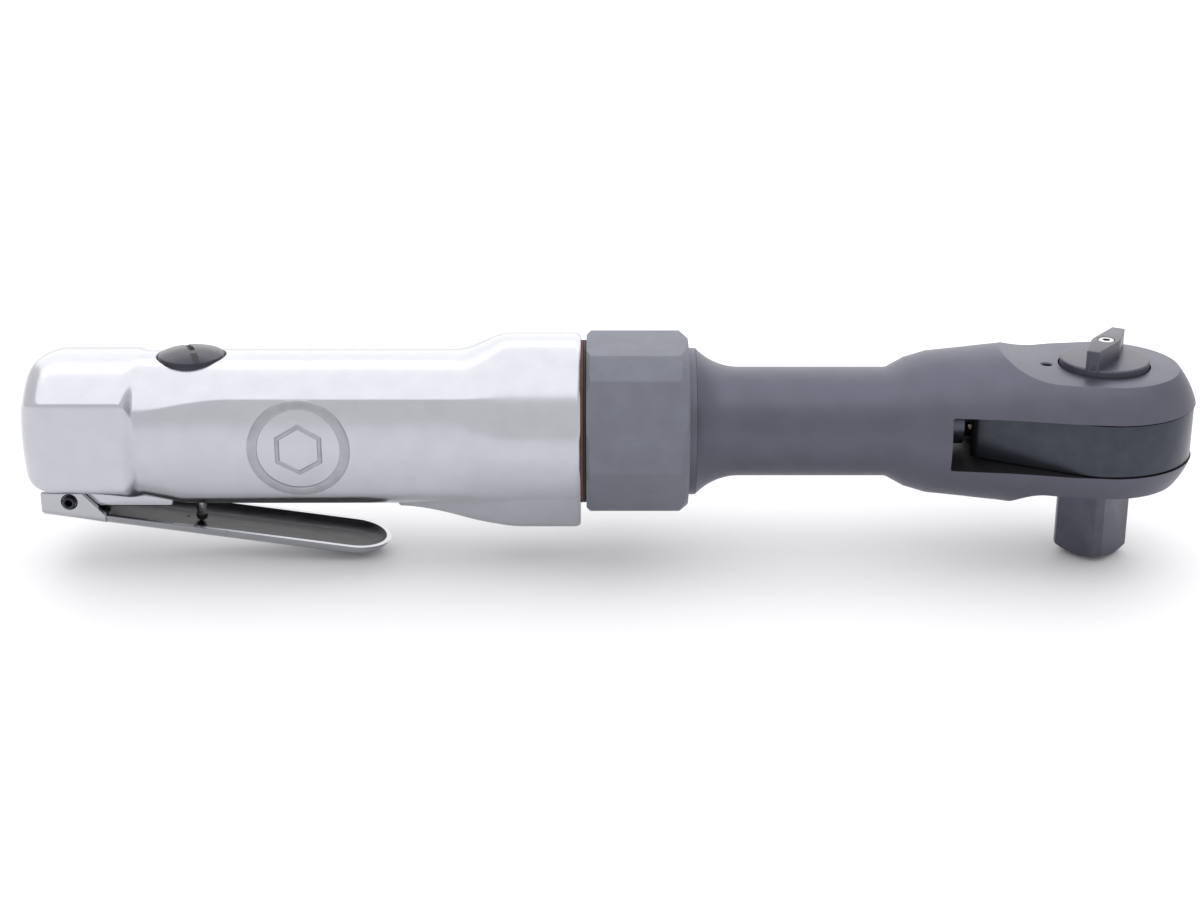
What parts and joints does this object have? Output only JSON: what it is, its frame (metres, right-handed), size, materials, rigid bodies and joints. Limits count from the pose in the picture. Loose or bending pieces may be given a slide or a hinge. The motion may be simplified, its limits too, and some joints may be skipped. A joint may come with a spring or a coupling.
{
  "type": "pneumatic ratchet wrench",
  "caption": "Lever-throttle air ratchet: polished grip with air motor and planetary gear, clamp nut, slotted head with oscillating yoke, reverse knob and square drive.",
  "frame": {"origin": "centre of the air inlet's mouth, at the tool's flat rear face", "axes": "+X along the tool from the air inlet to the head, +Z towards the reverse knob, so the square drive and the throttle lever point to -Z"},
  "size_m": [0.2599, 0.0408, 0.0514],
  "materials": {
    "polished_aluminium": "polished",
    "satin_black_steel": "satin dark blue-grey",
    "nut_steel": "matte blue-grey phosphate",
    "yoke_steel": "smooth black oxide",
    "drive_steel": "dark satin",
    "gunmetal": "satin gunmetal",
    "lever_steel": "polished",
    "bright_steel": "ground",
    "bronze": "machined",
    "black_rubber": "moulded",
    "brown_fibre": "pressed fibre",
    "vane_phenolic": "machined phenolic"
  },
  "bodies": {
    "body": {"motor_housing": "polished_aluminium", "inlet_bushing": "bright_steel", "inlet_screen": "bronze", "throttle_seat": "bronze", "throttle_spring": "bright_steel", "stem_seal": "black_rubber", "lever_pin": "drive_steel", "rear_end_plate": "bright_steel", "rear_bearing": "bright_steel", "cylinder_liner": "bright_steel", "cylinder_dowel": "bright_steel", "front_end_plate": "bright_steel", "front_bearing": "bright_steel", "ring_gear": "drive_steel", "joint_gasket": "brown_fibre", "spacer_ring": "black_rubber", "clamp_nut": "nut_steel", "nut_retaining_ring": "drive_steel", "ratchet_housing": "satin_black_steel", "crank_bearing": "bright_steel", "crank_bushing": "bronze", "thrust_washer": "bronze", "anvil_retaining_ring": "bright_steel"},
    "lever": {"throttle_lever": "lever_steel"},
    "valve": {"valve_stem": "bright_steel", "throttle_valve": "bright_steel"},
    "regulator": {"regulator_plug": "gunmetal", "regulator_seal": "black_rubber"},
    "crank": {"crankshaft": "drive_steel", "planet_pins": "bright_steel"},
    "rotor_assembly": {"rotor": "drive_steel", "rotor_blade_1": "vane_phenolic", "rotor_blade_2": "vane_phenolic", "rotor_blade_3": "vane_phenolic", "rotor_blade_4": "vane_phenolic", "rotor_blade_5": "vane_phenolic"},
    "planet_1": {"planet_gear_1": "bright_steel"},
    "planet_2": {"planet_gear_2": "bright_steel"},
    "planet_3": {"planet_gear_3": "bright_steel"},
    "bushing": {"drive_bushing": "bronze"},
    "yoke": {"ratchet_yoke": "yoke_steel"},
    "drive": {"anvil": "drive_steel", "pawl_pins": "bright_steel", "ball_spring": "bright_steel"},
    "ball": {"socket_ball": "bright_steel"},
    "knob": {"reverse_knob": "satin_black_steel", "knob_screw": "bright_steel", "plunger_spring": "bright_steel"},
    "plunger_1": {"selector_plunger_1": "bright_steel"},
    "plunger_2": {"selector_plunger_2": "bright_steel"},
    "first_pawl": {"pawl_1": "bright_steel"},
    "second_pawl": {"pawl_2": "bright_steel"}
  },
  "joints": [
    {"name": "lever_press", "type": "hinge", "parent": "body", "child": "lever", "pos_m": [0.0081, 0, -0.0161], "axis": [0, -1, 0], "range_deg": [0, 6], "stiffness_Nm_per_rad": 1, "springref_deg": -40.11},
    {"name": "valve_lift", "type": "slide", "parent": "body", "child": "valve", "axis": [0, 0, 1], "range_m": [0, 0.0031], "deforming": ["throttle_spring"]},
    {"name": "regulator_turn", "type": "hinge", "parent": "body", "child": "regulator", "pos_m": [0.036, 0, 0.0158], "axis": [0, 0, 1], "range_deg": [-45, 45]},
    {"name": "crank_spin", "type": "hinge", "parent": "body", "child": "crank", "pos_m": [0.15, 0, 0], "axis": [1, 0, 0], "continuous": true},
    {"name": "rotor_spin", "type": "hinge", "parent": "body", "child": "rotor_assembly", "pos_m": [0.075, 0, 0], "axis": [1, 0, 0], "continuous": true},
    {"name": "bushing_spin", "type": "hinge", "parent": "crank", "child": "bushing", "pos_m": [0.214, 0, 0.0013], "axis": [1, 0, 0], "continuous": true},
    {"name": "yoke_swing", "type": "hinge", "parent": "body", "child": "yoke", "pos_m": [0.2394, 0, 0], "axis": [0, 0, 1], "range_deg": [-3, 3]},
    {"name": "drive_spin", "type": "hinge", "parent": "body", "child": "drive", "pos_m": [0.2394, 0, 0], "axis": [0, 0, 1], "continuous": true},
    {"name": "ball_press", "type": "slide", "parent": "drive", "child": "ball", "axis": [-0.7071, -0.7071, 0], "range_m": [0, 0.0007], "stiffness_N_per_m": 2000, "springref_m": -0.0005},
    {"name": "reverse_turn", "type": "hinge", "parent": "drive", "child": "knob", "pos_m": [0.2394, 0, 0.0151], "axis": [0, 0, 1], "range_deg": [0, 40]},
    {"name": "planet_1_spin", "type": "hinge", "parent": "crank", "child": "planet_1", "pos_m": [0.108, 0, -0.0072], "axis": [1, 0, 0], "continuous": true},
    {"name": "planet_2_spin", "type": "hinge", "parent": "crank", "child": "planet_2", "pos_m": [0.108, 0.00624, 0.0036], "axis": [1, 0, 0], "continuous": true},
    {"name": "planet_3_spin", "type": "hinge", "parent": "crank", "child": "planet_3", "pos_m": [0.108, -0.00624, 0.0036], "axis": [1, 0, 0], "continuous": true},
    {"name": "plunger_1_press", "type": "slide", "parent": "knob", "child": "plunger_1", "axis": [-0.9397, 0.342, 0], "range_m": [0, 0.0005], "stiffness_N_per_m": 1500, "springref_m": -0.0005},
    {"name": "first_pawl_rock", "type": "hinge", "parent": "drive", "child": "first_pawl", "pos_m": [0.248, 0, 0], "axis": [0, 0, 1], "range_deg": [-14, 0]},
    {"name": "plunger_2_press", "type": "slide", "parent": "knob", "child": "plunger_2", "axis": [0.9397, -0.342, 0], "range_m": [0, 0.0005], "stiffness_N_per_m": 1500, "springref_m": -0.0005},
    {"name": "second_pawl_rock", "type": "hinge", "parent": "drive", "child": "second_pawl", "pos_m": [0.2308, 0, 0], "axis": [0, 0, 1], "range_deg": [-14, 0]}
  ],
  "couplings": [
    {"joint": "valve_lift", "follows": "lever_press", "m_per_rad": 0.0284},
    {"joint": "rotor_spin", "follows": "crank_spin", "ratio": 4},
    {"joint": "bushing_spin", "follows": "crank_spin", "ratio": -1},
    {"joint": "planet_1_spin", "follows": "crank_spin", "ratio": -3},
    {"joint": "planet_2_spin", "follows": "crank_spin", "ratio": -3},
    {"joint": "planet_3_spin", "follows": "crank_spin", "ratio": -3},
    {"joint": "first_pawl_rock", "follows": "reverse_turn", "ratio": -0.3},
    {"joint": "second_pawl_rock", "follows": "reverse_turn", "ratio": -0.3}
  ]
}
